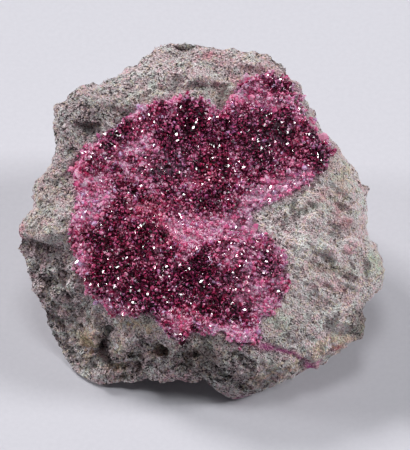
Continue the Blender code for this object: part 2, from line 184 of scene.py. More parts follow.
# Small forms of the display side, as (right, up, half width, half height, turn, height)
ROCK_FORMS = [
    (-24.4, 20.0, 2.2, 0.9, 10, -0.8), (-27.9, 15.2, 0.9, 0.7, 0, -0.9),
    (-19.0, 25.0, 6.5, 0.8, 33, -0.9), (-16.0, 26.2, 7.0, 0.9, 27, 0.6),
    (-30.0, 24.0, 1.6, 2.4, 0, 0.8), (-25.0, 27.0, 2.6, 1.5, 10, 0.7),
    (-22.5, 24.5, 1.5, 1.2, 0, 0.6), (-29.0, 19.0, 1.2, 1.8, 0, 0.6),
    (-1.5, 29.0, 6.5, 0.7, 4, -0.3), (4.0, 32.5, 5.0, 1.2, -20, -0.6),
    (12.0, 34.0, 4.0, 1.2, -15, 0.6), (-33.5, -5.5, 5.6, 1.0, -12, -1.5),
    (-35.0, 2.5, 3.0, 0.8, 10, 0.5), (-38.0, -2.5, 1.4, 0.8, 0, 0.5),
    (-29.5, -15.0, 3.2, 0.9, -45, -0.9), (-31.5, -20.5, 3.0, 0.8, -50, -0.9),
    (-27.5, -25.0, 2.4, 1.1, -60, -0.9), (-25.0, -29.5, 1.6, 2.6, 0, 0.8),
    (-21.0, -27.0, 1.1, 3.6, -10, -1.6), (-17.5, -28.5, 1.6, 1.6, 0, 0.8),
    (-15.5, -25.5, 2.0, 1.2, 20, 0.8), (-11.2, -23.4, 1.4, 1.2, 0, 0.7),
    (-13.2, -29.0, 2.4, 0.8, -20, -0.9), (-8.6, -27.6, 1.9, 1.1, -20, -1.2),
    (-5.0, -29.5, 3.6, 0.7, -60, -0.7), (-1.5, -29.0, 0.7, 4.0, 12, 0.6),
    (1.5, -27.5, 0.9, 3.2, 20, -0.8), (4.2, -30.6, 0.8, 3.4, -6, 0.8),
    (7.0, -28.0, 1.4, 2.6, 30, -0.6), (10.5, -29.5, 5.0, 0.7, -24, -0.6),
    (11.5, -33.0, 2.4, 1.6, 20, 0.7), (6.5, -35.5, 2.0, 1.2, 0, 0.5),
    (17.5, -27.5, 6.0, 0.6, -28, -0.5), (21.5, -23.5, 4.0, 1.2, 10, 0.4),
    (23.5, -4.5, 7.5, 0.7, -12, 0.6), (28.0, -8.0, 7.0, 0.6, -20, -0.3),
    (26.0, -12.0, 6.0, 0.7, -24, 0.5), (31.5, -12.0, 5.0, 0.6, -26, -0.3),
    (20.5, 1.0, 5.5, 0.6, 36, -0.5), (27.5, 4.0, 4.5, 0.7, 44, 0.5),
    (33.0, -1.0, 2.6, 0.6, 60, -0.5), (34.0, -23.0, 1.8, 2.4, 20, 0.6),
    (29.5, -21.0, 1.2, 1.6, 0, -0.6),
]
# The most broken and pitted parts, the arch under the front edge, and the smooth skin
# below the crust, as (right, up, half width, half height, turn, weight)
RUGGED_PATCHES = [
    (-31.0, -14.0, 8.0, 9.0, -50, 1.0), (-22.0, -28.0, 12.0, 8.0, -20, 1.0),
    (-4.0, -31.0, 10.0, 4.0, 0, 0.7), (9.0, -33.0, 8.0, 5.0, 0, 0.8),
    (-26.0, 22.0, 7.0, 8.0, 0, 0.6), (24.0, -30.0, 9.0, 2.5, 25, 0.5),
    (28.0, 9.0, 6.0, 5.0, 0, 0.2),
]
ARCH_HOLLOW = [(-4.0, -33.0, 11.0, 8.0, 0, 1.0)]
SMOOTH_SKIN = [(0.6, -28.0, 4.8, 3.6, 20, 1.0), (15.0, -20.0, 2.6, 4.0, 20, 0.7)]
ARCH_RISE = 6.5
HIDDEN_PAST_EDGE = 2.5  # how far inside the crust's edge the rock is out of sight
BACK_SIDE = -6.0  # where along "out" the back of the lump begins
FOOT_HEIGHT = 0.4  # how high above the floor the rock begins to be worn
# How far outwards a point, and the two faces of an edge together, lean where they show
POINT_SHOWS = -0.2
EDGE_SHOWS = -0.3

# Lumps of the broken surface: size, height, more height where it is rugged, and seed
ROCK_LUMPS = [(5.2, 0.9, 0.0, 1), (2.3, 0.34, 0.8, 2), (1.05, 0.22, 0.35, 3), (0.55, 0.18, 0.0, 4)]
PIT_SIZE = 2.9
PIT_RADIUS = 0.42
PIT_DEPTH = 0.7
PITTED_ZONE_SIZE = 7.0
DIMPLE_SIZE = 1.7
DIMPLE_RADIUS = 0.34
DIMPLE_DEPTH = 0.06
RUGGED_DIMPLE_DEPTH = 0.3
BLOCK_SIZE = 2.4
BLOCK_HEIGHT = 1.5
GRAIN_SIZE = 1.3
GRAIN_HEIGHT = 0.2
# Facets of the hidden side
FACET_SIZE = 6.5
FACET_HEIGHT = 1.3
# Streaks of the right shoulder: narrow across, drawn out along a slope to the lower right
STREAK_SIZE = 1.3
STREAK_HEIGHT = 0.55
STREAK_RUN = 0.93
STREAK_FALL = 0.37
STREAK_STRETCH = 0.25
STREAKS_BEGIN = 12.0
STREAKS_FULL = 20.0
# How much calmer the surface is under the crust and on the smooth skin, how far it sinks
# under the crust, and the heights above the floor between which it calms down
CALM_UNDER_CRUST = 0.85
CALM_SKIN = 0.5
SINK_UNDER_CRUST = 0.7
CALM_FOOT = (0.2, 3.0)
# Darkness of the hidden side, and width of the stain beside the crust
HIDDEN_DARKNESS = 0.35
STAIN_WIDTH = 0.45


def rock_mesh():
    """The broken lump, cut finer where it shows and worn a little."""
    shape = bmesh.new()
    shape.from_mesh(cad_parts["matrix_rock"].data)
    bmesh.ops.remove_doubles(shape, verts=shape.verts[:], dist=WELD_DISTANCE)
    for front_only in (False, False, True):
        middles = np.array([((edge.verts[0].co + edge.verts[1].co) / 2)[:] for edge in shape.edges])
        places = lay_flat(middles)
        covered = edge_distance(places, CRUST_OUTLINE) > HIDDEN_PAST_EDGE
        covered &= places[:, 2] > BACK_SIDE
        chosen = ~covered
        if front_only:
            chosen &= np.array([
                sum((face.normal for face in edge.link_faces), Vector()).dot(Vector(OUT)) > EDGE_SHOWS
                for edge in shape.edges
            ])
        edges = [edge for edge, wanted in zip(shape.edges, chosen) if wanted]
        bmesh.ops.subdivide_edges(shape, edges=edges, cuts=1, use_grid_fill=True)
        bmesh.ops.triangulate(shape, faces=shape.faces[:])
        shape.normal_update()
    soften(shape, [vert for vert in shape.verts if vert.co.z > FOOT_HEIGHT * MM], 3)
    mesh = bpy.data.meshes.new("rock")
    shape.to_mesh(mesh)
    shape.free()
    return mesh


rock_shape = rock_mesh()
points = read_points(rock_shape)
normals = read_normals(rock_shape)
places = lay_flat(points)
crumbs = points / MM
inside = edge_distance(places, CRUST_OUTLINE)
showing = (normals @ OUT > POINT_SHOWS).astype(float)
rugged = cover(places, RUGGED_PATCHES) * showing + (1.0 - showing)
smooth_skin = cover(places, SMOOTH_SKIN) * showing

height = spots(places, ROCK_FORMS) * showing
for size, lump_height, rugged_height, seed in ROCK_LUMPS:
    height += (lump_height + rugged_height * rugged) * waves(crumbs, size, seed)
pits = shares(PIT_RADIUS - chips(crumbs, PIT_SIZE, 1), 0.0, 0.3)
pits *= shares(waves(crumbs, PITTED_ZONE_SIZE, 5), -0.1, 0.3)
height -= PIT_DEPTH * rugged * pits
dimples = shares(DIMPLE_RADIUS - chips(crumbs, DIMPLE_SIZE, 7), 0.0, 0.2)
height -= (DIMPLE_DEPTH + RUGGED_DIMPLE_DEPTH * rugged) * dimples
height += BLOCK_HEIGHT * rugged * (clumps(crumbs, BLOCK_SIZE, 9) - 0.5) * showing
height += GRAIN_HEIGHT * (1.0 + rugged) * (chips(crumbs, GRAIN_SIZE, 2) - 0.35)
height += FACET_HEIGHT * (chips(crumbs, FACET_SIZE, 8) - 0.45) * (1.0 - showing)
streaks = np.stack((
    (places[:, 0] * STREAK_RUN - places[:, 1] * STREAK_FALL) * STREAK_STRETCH,
    places[:, 1] * STREAK_RUN + places[:, 0] * STREAK_FALL,
    places[:, 2] * 0.5,
), axis=1)
streak = waves(streaks, STREAK_SIZE, 6) * shares(places[:, 0], STREAKS_BEGIN, STREAKS_FULL) * showing
height += STREAK_HEIGHT * streak

height *= 1.0 - CALM_UNDER_CRUST * shares(inside, -0.6, 0.6)
height -= SINK_UNDER_CRUST * shares(inside, 0.0, 2.0) * showing
height *= shares(points[:, 2] / MM, *CALM_FOOT)
height *= 1.0 - CALM_SKIN * smooth_skin
points += normals * height[:, None] * MM
points[:, 2] = np.maximum(points[:, 2], 0.0)
arch = np.clip(spots(places, ARCH_HOLLOW) - 0.2, 0.0, 1.0) * shares(-normals[:, 2], 0.0, 0.5)
points[:, 2] += ARCH_RISE * MM * arch
move_points(rock_shape, points)

# Patches of colour in the rock, as (right, up, half width, half height, turn, weight)
# Dark patches: mostly the rock's own dark colour, but those at (-31.5, -6.5), (-36.0, -6.0) and (-33.0,
# -8.5) are painted shadow under the left shelf's ledge, and the one at (-2.0, -37.5) is painted shade
# along the arch rim.
DARK_AND_SHADE_PATCHES = [
    (-31.5, -6.5, 7.5, 2.2, -12, 0.6), (-28.0, 15.0, 2.6, 3.4, 0, 0.4),
    (-20.8, -22.0, 2.2, 1.2, -30, 0.4), (-34.0, 3.0, 5.0, 7.0, 0, 0.25),
    (-36.0, -6.0, 4.0, 2.5, 0, 0.25), (-29.0, -15.2, 4.0, 1.2, 0, 0.5),
    (-31.0, 10.0, 4.0, 8.0, 0, 0.35), (-31.0, -19.0, 4.0, 1.6, -50, 0.30),
    (-26.0, -26.0, 3.0, 2.0, -50, 0.10), (-20.5, -27.0, 1.6, 4.0, 0, 0.5),
    (-13.0, -23.0, 4.0, 2.4, -20, 0.8), (0.0, -28.0, 7.0, 5.0, 10, 0.95),
    (9.0, -33.0, 7.5, 5.5, 0, 0.65), (17.0, -25.5, 6.0, 2.6, 20, 0.45),
    (34.6, -22.4, 2.4, 3.8, 10, 1.7), (-2.0, -37.5, 8.0, 1.6, -12, 0.6),
    (-28.0, -31.0, 3.0, 2.0, 0, 0.4), (-8.0, -30.0, 6.0, 2.5, 0, 0.5),
    (-33.0, -8.5, 3.0, 2.0, 0, 0.4), (32.5, -12.0, 5.0, 1.0, -20, 0.15),
    (-24.0, 24.0, 8.0, 5.0, 20, 0.45), (-1.0, 29.3, 6.0, 1.2, 0, 0.15),
    (31.6, -0.2, 2.2, 1.4, -30, 0.4), (-1.0, 36.0, 10.0, 2.0, 0, 0.2),
    (21.0, -22.0, 4.0, 2.0, 10, 0.25), (28.6, -10.2, 5.0, 0.8, -6, 0.4),
    (25.5, -17.0, 5.0, 0.8, -24, 0.35), (22.0, 3.0, 3.0, 0.8, 20, 0.3),
]
TAN_PATCHES = [
    (-24.5, -26.0, 2.6, 4.6, 0, 1.0), (-15.5, -21.8, 2.6, 1.3, 0, 1.0),
    (-11.0, -23.0, 1.6, 1.2, 0, 0.9), (-17.5, -26.5, 1.6, 2.0, 0, 0.7),
    (-18.0, -31.5, 2.0, 1.0, 0, 0.9), (-34.0, 6.0, 5.0, 6.0, 0, 0.35),
    (19.0, -31.0, 9.0, 2.0, 22, 0.6), (29.0, -26.0, 4.0, 2.0, 15, 0.7),
    (30.5, 10.0, 4.0, 5.0, 0, 0.45), (-9.5, -28.2, 2.2, 1.2, 0, 0.5),
    (13.0, -33.5, 2.5, 1.5, 20, 0.4),
]
GREEN_PATCHES = [
    (0.0, -28.0, 5.5, 4.5, 10, 0.8), (34.4, -22.6, 2.2, 3.4, 10, 1.0),
    (16.5, -21.0, 3.5, 4.0, 0, 0.6), (-11.8, -21.3, 2.0, 1.6, 0, 0.9),
    (6.0, 27.5, 6.0, 2.6, -10, 0.6), (-13.0, 27.0, 6.0, 1.4, 28, 0.5),
    (-34.0, -2.0, 6.0, 2.0, 0, 0.4), (28.6, -10.2, 6.0, 1.2, -6, 0.7),
    (38.0, -9.0, 1.8, 3.0, 0, 0.9), (24.0, 3.5, 4.0, 2.0, 20, 0.4),
]
PINK_PATCHES = [
    (2.5, 36.2, 4.5, 1.4, -8, 1.0), (-38.8, -2.0, 1.4, 2.2, 0, 1.0), (32.4, -6.1, 1.5, 1.0, 0, 1.0),
    (30.5, -0.5, 3.0, 1.6, -20, 0.6), (28.0, 4.8, 4.0, 2.0, -20, 0.5),
    (29.5, -14.5, 6.0, 1.4, -24, 0.5), (-35.0, -9.0, 1.2, 1.2, 0, 0.6),
    (-5.0, -34.0, 5.0, 0.9, 0, 0.8), (-29.5, -19.0, 2.0, 2.0, 0, 0.5),
    (8.0, 30.5, 6.0, 3.0, -20, 0.4), (-12.0, 22.0, 9.0, 1.0, 33, 0.5),
    (26.0, -12.0, 6.0, 2.0, 0, 0.3), (15.0, 33.5, 4.0, 2.0, -20, 0.7),
    (-14.0, -27.5, 2.0, 1.0, 0, 0.4),
]
RED_PATCHES = [
    (29.5, -27.0, 1.3, 0.8, 20, 1.0), (31.6, -0.2, 2.4, 1.4, -30, 0.6),
    (30.0, 2.6, 1.8, 1.0, 0, 0.3), (24.0, -31.0, 0.9, 0.7, 20, 0.5),
]
VEIN_PATCHES = [
    (18.0, -27.6, 2.6, 0.5, -14, 1.0), (21.6, -29.4, 1.8, 0.45, -32, 0.8),
    (23.4, -31.1, 0.9, 0.7, 0, 1.2), (25.3, -29.9, 0.8, 0.5, 20, 1.0),
    (14.0, -26.6, 1.8, 0.8, -10, 0.9), (8.5, -38.0, 2.0, 0.5, 20, 0.6),
]
PALE_PATCHES = [
    (-15.3, -21.3, 1.6, 1.2, 0, 0.9), (-11.0, -22.6, 1.6, 1.0, 0, 0.9),
    (-17.5, -26.1, 1.4, 2.0, 0, 1.0), (-17.9, -31.3, 2.2, 1.0, 0, 1.0),
    (-23.6, -24.8, 1.6, 4.0, 0, 1.0), (-28.0, -19.0, 2.5, 3.0, 0, 0.6),
    (-13.0, -33.0, 4.0, 1.5, 0, 0.5), (-27.0, -20.0, 9.0, 13.0, 0, 0.60),
    (-23.0, -27.0, 7.0, 7.0, 0, 0.60), (34.6, -22.4, 2.4, 3.8, 10, -1.5),
    (28.0, -8.0, 12.0, 18.0, 0, 0.4), (12.0, -31.0, 12.0, 5.0, 15, 0.50),
    (-7.3, -27.8, 1.3, 1.2, 0, 0.9), (30.7, -14.3, 5.5, 0.9, -26, 0.7),
    (31.0, -26.5, 9.0, 3.0, 25, 0.6), (37.0, -14.0, 3.0, 7.0, 0, 0.4),
    (-34.0, -4.0, 5.0, 3.0, 0, 0.4), (-33.0, -15.0, 2.5, 2.0, 0, 0.5),
    (-23.0, -31.5, 2.5, 2.0, 0, 0.5), (16.5, -17.5, 3.2, 4.0, -20, 0.9),
    (26.0, 4.0, 9.0, 9.0, 0, 0.35), (33.0, 0.0, 5.0, 9.0, 0, 0.4), (30.0, -24.0, 4.0, 2.0, 0, 0.5),
    (4.0, 29.0, 7.0, 3.0, 0, 0.25), (24.0, -15.0, 8.0, 6.0, 0, 0.2),
]
for name, patches in (
    ("tan", TAN_PATCHES), ("green", GREEN_PATCHES), ("pink", PINK_PATCHES),
    ("red", RED_PATCHES), ("pale", PALE_PATCHES), ("vein", VEIN_PATCHES),
):
    give(rock_shape, name, cover(places, patches) * showing)
# The dark mask carries the dark patches, painted shade among them, and the darker hidden side.
give(rock_shape, "dark", cover(places, DARK_AND_SHADE_PATCHES) * showing + HIDDEN_DARKNESS * (1.0 - showing))
give(rock_shape, "rugged", rugged * (1.0 - smooth_skin) * (0.4 + 0.6 * showing))
give(rock_shape, "band", streak * 0.5 + 0.5)
# Painted shade in the pits and other places sunk below their surroundings.
give(rock_shape, "pits", shares(-height, 0.2, 1.3) * (0.35 + 0.65 * rugged))
give(rock_shape, "beside_crust", fade(-inside, STAIN_WIDTH) * showing)
rock = show("host_rock", rock_shape)


class Wire:
    """One value on its way through a material; sums on it add the nodes they need."""

    def __init__(self, tree, socket=None):
        self.tree = tree
        self.socket = socket

    def node(self, kind, settings=None, inputs=None, output=0):
        """A node of a kind, its settings made first, then its sockets filled or linked."""
        made = self.tree.nodes.new("ShaderNode" + kind)
        for name, value in (settings or {}).items():
            if name == "stops":
                ramp = made.color_ramp
                while len(ramp.elements) < len(value):
                    ramp.elements.new(0.5)
                for element, (position, colour) in zip(ramp.elements, value):
                    element.position = position
                    element.color = (*colour, 1.0)
            else:
                setattr(made, name, value)
        for name, value in (inputs or {}).items():
            if isinstance(value, Wire):
                self.tree.links.new(value.socket, made.inputs[name])
            else:
                made.inputs[name].default_value = value
        return Wire(self.tree, made.outputs[output])

    def sum(self, operation, first, second):
        return self.node("Math", {"operation": operation}, {0: first, 1: second})

    def __add__(self, other):
        return self.sum("ADD", self, other)

    def __radd__(self, other):
        return self.sum("ADD", other, self)

    def __sub__(self, other):
        return self.sum("SUBTRACT", self, other)

    def __rsub__(self, other):
        return self.sum("SUBTRACT", other, self)

    def __mul__(self, other):
        return self.sum("MULTIPLY", self, other)

    def __rmul__(self, other):
        return self.sum("MULTIPLY", other, self)

    def limit(self):
        """This value held between 0 and 1."""
        return self.node("Clamp", {}, {"Value": self})

    def channel(self, number):
        """One channel of this colour, 0 for its red and 1 for its green."""
        return self.node("SeparateColor", {}, {0: self}, number)

    def between(self, low, high):
        """0 where this value is below low, 1 above high, smooth between."""
        return self.node(
            "MapRange", {"interpolation_type": "SMOOTHSTEP"},
            {"Value": self, "From Min": low, "From Max": high},
        )

    def blend(self, kind, colour, share):
        """This colour blended with another, in the way that kind names."""
        settings = {"data_type": "RGBA", "blend_type": kind}
        return self.node("Mix", settings, {0: share, 6: self, 7: (*colour, 1.0)}, output=2)

    def toward(self, colour, share):
        """This colour mixed towards another by a share."""
        return self.blend("MIX", colour, share)

    def times(self, colour, share=1.0):
        """This colour multiplied by another, as far as the share says."""
        return self.blend("MULTIPLY", colour, share)


def millimetres(start):
    """The place on a piece, in millimetres."""
    metres = start.node("TexCoord", output=3)
    return start.node("VectorMath", {"operation": "SCALE"}, {0: metres, "Scale": 1000.0})


def stored(start, names):
    """The numbers that were given to the mesh, by their names."""
    return {name: start.node("Attribute", {"attribute_name": name}, output=2) for name in names}


def mottle(start, place, scale, detail, output=0):
    """Soft uneven noise, from 0 to 1, with about scale lumps to each unit of the place."""
    return start.node("TexNoise", {}, {"Vector": place, "Scale": scale, "Detail": detail}, output)


def cells(start, place, scale):
    """A random colour for each irregular cell, with about scale cells to each unit."""
    return start.node("TexVoronoi", {}, {"Vector": place, "Scale": scale}, output=1)


def bowls(start, place, scale):
    """Distance to the middle of each irregular cell, which makes it a small bowl."""
    return start.node("TexVoronoi", {}, {"Vector": place, "Scale": scale})


def finish_material(name, settings, links):
    """A material whose constant values sit on its shader and whose varied ones are linked."""
    material = bpy.data.materials.new(name)
    material.use_nodes = True
    tree = material.node_tree
    shader = tree.nodes["Principled BSDF"]
    for socket, value in settings.items():
        shader.inputs[socket].default_value = value
    for socket, wire in links(Wire(tree)).items():
        tree.links.new(wire.socket, shader.inputs[socket])
    return material


# Colours of the rock: its greys from the darkest grains to the palest, then the tints
# and minerals laid over them
ROCK_GREYS = [
    (0.00, (0.045, 0.037, 0.040)), (0.18, (0.27, 0.225, 0.235)), (0.42, (0.60, 0.508, 0.520)),
    (0.64, (0.90, 0.805, 0.815)), (0.88, (1.00, 0.965, 0.965)),
]
ROSY_GRAIN = (1.0, 0.64, 0.72)
CREAMY_GRAIN = (1.0, 0.90, 0.70)
WARM_BLUSH = (1.0, 0.88, 0.90)
COOL_BLUSH = (0.91, 1.0, 0.95)
PALE_PATCH_TINT = (0.98, 0.90, 0.84)
TAN_TINT = (1.0, 0.82, 0.56)
GREEN_TINT = (0.72, 0.82, 0.66)
PINK_TINT = (1.0, 0.62, 0.70)
RED_FLECK = (0.50, 0.10, 0.14)
VEIN_PINK = (0.72, 0.13, 0.42)
# Multiplier for the dark mask: dark rock, and painted shade where the patches stand for shadow.
DARK_SKIN_AND_PAINTED_SHADE = (0.55, 0.515, 0.54)
PAINTED_PIT_SHADE = (0.45, 0.41, 0.41)
CRUST_STAIN = (0.50, 0.20, 0.34)

# How many of each there are to the millimetre, and how deep the crumbs stand, in metres
ROCK_GRAINS = 2.1
ROCK_SPECKS = 3.7
ROCK_BOWLS = 2.6
ROCK_BLOCKS = 0.85
ROCK_CRUMB_DEPTH = 0.0006


def rock_links(start):
    """Grains of mixed colours, patches, cracks and pits of the granular rock, with painted shade in the
    cracks, the pits and other sunk places, and on some dark patches.
    """
    place = millimetres(start)
    patch = stored(start, (
        "dark", "tan", "green", "pink", "red", "pale", "vein", "pits", "rugged", "band", "beside_crust",
    ))
    wide = mottle(start, place, 0.16, 3.0)
    middle = mottle(start, place, 0.75, 3.0)
    fine = mottle(start, place, 3.4, 2.0)
    blush = mottle(start, place, 0.45, 4.0)
    grain = cells(start, place, ROCK_GRAINS)
    pick = grain.channel(0)
    hue = grain.channel(1)
    speck_pick = cells(start, place, ROCK_SPECKS).channel(0)
    warp = mottle(start, place, 1.1, 2.0, output=1)
    bent = start.node("VectorMath", {"operation": "ADD"}, {0: place, 1: warp})
    gap = start.node("TexVoronoi", {"feature": "DISTANCE_TO_EDGE"}, {"Vector": bent, "Scale": ROCK_BLOCKS})
    # Cracks between the blocks, sunk in the bump and darkened in colour as painted shade.
    crack = (1.0 - gap.between(0.01, 0.11)) * patch["rugged"]
    block = cells(start, bent, ROCK_BLOCKS)
    block_pick = block.channel(0)

    tan = patch["tan"] * block.channel(1).between(0.25, 0.6)
    mixed = pick * 0.80 + speck_pick * 1.10 + fine * 0.70 + middle * 0.55 - 0.88
    mixed = mixed + (wide - 0.5) * 0.5 + (patch["band"] - 0.5) * 0.5 + patch["pale"] * 0.33
    mixed = mixed + (middle * 0.8 + pick * 0.6 + block_pick * 0.9 - 0.98) * patch["rugged"]
    # Darker in the cracks as painted shade, and where the dark patches lie.
    mixed = mixed + tan * 0.45 - patch["dark"] * 0.12 - crack * 0.46
    colour = start.node("ValToRGB", {"stops": ROCK_GREYS}, {0: mixed})

    rosy = hue.between(0.70, 0.82) * middle.between(0.38, 0.58)
    colour = colour.times(ROSY_GRAIN, rosy * 0.6)
    colour = colour.times(CREAMY_GRAIN, (1.0 - hue).between(0.76, 0.86) * 0.7)
    colour = colour.times(WARM_BLUSH, blush.between(0.46, 0.62))
    colour = colour.times(COOL_BLUSH, 1.0 - blush.between(0.34, 0.50))
    # Lighter and warmer where the pale patches lie.
    colour = colour.toward(PALE_PATCH_TINT, patch["pale"] * fine.between(0.3, 0.6) * 0.12)
    colour = colour.times(TAN_TINT, tan * 0.9)
    colour = colour.times(GREEN_TINT, patch["green"] * 0.8)
    colour = colour.times(PINK_TINT, (patch["pink"] * middle.between(0.30, 0.62)).limit())
    colour = colour.toward(RED_FLECK, (patch["red"] * fine.between(0.3, 0.55)).limit())
    colour = colour.toward(VEIN_PINK, (patch["vein"] * fine.between(0.25, 0.5)).limit())
    # Darkened by the dark mask: dark rock, and painted shadow under the left shelf's ledge and along the
    # arch rim.
    colour = colour.times(DARK_SKIN_AND_PAINTED_SHADE, patch["dark"])
    # Painted shade in the pits and sunk places.
    colour = colour.times(PAINTED_PIT_SHADE, patch["pits"])
    stain = (patch["beside_crust"] * (pick * 0.8 + middle.between(0.35, 0.65))).limit()
    colour = colour.toward(CRUST_STAIN, stain * 0.45)

    bowl = bowls(start, place, ROCK_BOWLS)
    crumb = (bowl * 0.9 + fine * 0.8 + pick * 0.35) * (1.0 + patch["rugged"] * 0.3)
    crumb = crumb + block_pick * patch["rugged"] - crack
    bump = {"Strength": 1.0, "Distance": ROCK_CRUMB_DEPTH, "Height": crumb}
    return {
        "Base Color": colour,
        "Normal": start.node("Bump", {}, bump),
        "Roughness": 0.62 + 0.33 * speck_pick,
    }


rock_shape.materials.append(
    finish_material("granular_rock", {"IOR": 1.5, "Specular IOR Level": 0.35}, rock_links)
)
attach(rock, "root")
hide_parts("matrix_rock")

# Crust bed: the sheet of fused roots that the crystals stand on, pale to crimson pink
# and finely granular. It grew out of the rock and thins to nothing at its edge.
EDGE_WAVER = 1.3
EDGE_WAVER_SIZE = 2.2
EDGE_SINK = 1.3
EDGE_SINK_WIDTH = 0.45
# Unevenness of its surface: size, height and seed
BED_LUMPS = [(1.3, 0.24, 31), (0.6, 0.16, 32)]
BED_SINK = 0.2
BED_SHOWS = 0.2
# Where the crust is paler (positive) or more wine black (negative), as
# (right, up, half width, half height, turn, weight)
TONE_PATCHES = [
    (-18.0, 18.3, 3.5, 2.5, 20, -0.20), (-1.8, 21.7, 4.5, 5.0, 0, -0.34),
    (14.7, 18.9, 7.0, 5.2, 10, -0.36), (17.3, 30.2, 2.6, 2.0, 0, -0.36),
    (-7.7, 12.4, 4.0, 3.5, 0, -0.26), (2.1, 11.3, 4.0, 6.0, 0, -0.12),
    (-16.4, -5.0, 8.5, 6.0, 0, -0.14), (-20.8, -10.4, 4.0, 4.0, 0, -0.12),
    (-13.2, -14.8, 4.0, 3.5, 0, -0.26), (-2.3, -10.9, 8.0, 5.0, 0, -0.34),
    (3.2, -17.6, 5.5, 3.0, -10, -0.22), (15.5, -7.8, 2.4, 4.0, 0, -0.10),
    (25.5, 14.4, 2.8, 3.4, 0, -0.75), (-12.0, 3.7, 5.0, 3.0, 0, 0.08),
    (-18.2, 1.5, 2.0, 1.6, 0, -0.20), (-24.0, 14.0, 1.4, 1.4, 0, -0.12),
    (-27.3, 12.4, 2.0, 3.0, 0, 0.28), (-24.5, 5.9, 2.2, 3.5, 0, 0.30),
    (-21.2, 6.5, 2.8, 1.8, 0, 0.50), (-24.0, 1.5, 2.4, 3.0, 0, 0.50),
    (-26.2, -3.9, 1.2, 5.0, 0, 0.30), (-14.2, 15.7, 1.6, 1.4, 0, 0.45),
    (-16.4, 12.4, 2.0, 1.4, 0, 0.40), (-11.6, 17.8, 1.6, 1.4, 0, 0.40),
    (-14.2, 9.6, 2.4, 1.4, 0, 0.45), (-11.0, 9.1, 1.6, 1.2, 0, 0.35),
    (-17.9, 9.6, 1.6, 1.2, 0, 0.30), (-8.8, 15.2, 1.2, 1.0, 0, 0.30),
    (-2.3, -2.2, 3.6, 3.4, -30, 0.62), (-5.5, -0.7, 2.2, 1.8, 0, 0.40),
    (3.2, -0.7, 4.0, 2.4, 0, 0.34), (8.6, -0.7, 3.6, 2.6, 0, 0.34), (3.2, -3.9, 3.0, 1.8, 0, 0.28),
    (-1.6, 8.0, 2.2, 1.5, -30, 0.45), (10.8, 4.1, 3.6, 2.2, 20, 0.44),
    (14.7, 7.0, 3.2, 2.2, 25, 0.40), (19.5, 8.7, 4.0, 2.4, 25, 0.42),
    (22.7, 11.3, 2.0, 2.0, 0, 0.30), (11.8, 26.5, 3.6, 1.8, 0, 0.56),
    (9.2, 28.3, 2.0, 2.0, 0, 0.30), (16.2, 24.8, 2.0, 1.4, 0, 0.42),
    (19.9, 26.5, 1.8, 1.4, 0, 0.62), (21.6, 23.3, 1.0, 1.8, -30, 0.40),
    (21.0, 17.8, 1.2, 2.0, -30, 0.45), (23.8, 16.1, 1.6, 2.0, 0, 0.42),
    (26.4, 16.7, 2.4, 2.0, -50, 0.42), (9.7, -8.7, 3.6, 2.6, 0, 0.26),
    (11.9, -13.7, 3.0, 3.5, 0, 0.32), (8.6, -17.0, 1.8, 2.4, 0, 0.22),
    (15.1, -15.9, 2.0, 3.0, 0, 0.28), (5.3, -7.2, 2.0, 1.8, 0, 0.20),
    (17.3, -8.7, 1.1, 6.0, 0, 0.22), (-4.5, -20.9, 3.0, 2.6, 0, 0.40),
    (-0.1, -21.7, 2.4, 1.4, 0, 0.35), (5.3, -22.4, 4.0, 1.2, 0, 0.38),
    (9.2, -24.6, 3.2, 1.6, 0, 0.40), (-11.0, 3.0, 4.5, 2.2, 0, 0.14),
    (-13.2, 24.3, 4.2, 1.2, 30, 0.34), (-6.2, 26.5, 3.0, 0.9, 0, 0.30),
    (-24.0, 15.5, 3.0, 1.3, 45, 0.34), (-19.7, -17.6, 6.0, 1.2, -14, 0.34),
    (-5.5, -8.3, 1.2, 1.2, 0, 0.20), (-8.5, -19.5, 2.0, 1.6, 0, 0.20),
    (7.0, 15.0, 1.4, 1.6, 0, 0.18), (-12.0, 12.6, 1.8, 1.2, 0, 0.35),
    (15.1, 12.0, 2.0, 1.6, 0, 0.22), (-2.5, -6.3, 3.0, 1.8, 0, 0.28),
    (10.5, -5.0, 3.0, 2.4, 0, 0.18), (-9.5, -19.0, 2.5, 2.5, 0, -0.22),
    (-1.2, -23.0, 1.2, 2.2, 0, -0.40), (8.0, 30.0, 2.4, 2.0, 0, -0.25),
    (14.0, 28.0, 2.0, 1.6, 0, 0.20), (23.8, 20.0, 2.5, 2.5, 0, 0.20),
    (-22.0, 0.4, 2.5, 2.0, 0, 0.15), (-22.0, 10.5, 2.5, 2.0, 0, 0.15),
    (7.7, 24.0, 3.0, 2.5, 0, 0.18), (13.0, 33.0, 2.5, 1.5, 0, 0.25), (8.3, 5.2, 2.5, 2.0, 0, 0.15),
    (-15.3, 9.1, 2.5, 1.5, 0, -0.20), (-24.7, 6.5, 2.0, 1.5, 0, -0.12),
    (11.0, -0.2, 2.5, 2.0, 0, -0.28), (2.3, -1.5, 3.0, 1.5, 0, -0.15),
    (-14.0, -8.3, 3.0, 2.5, 0, -0.15), (-7.3, -5.0, 2.5, 2.0, 0, -0.15),
    (-8.6, -21.0, 2.5, 2.0, 0, -0.15),
]
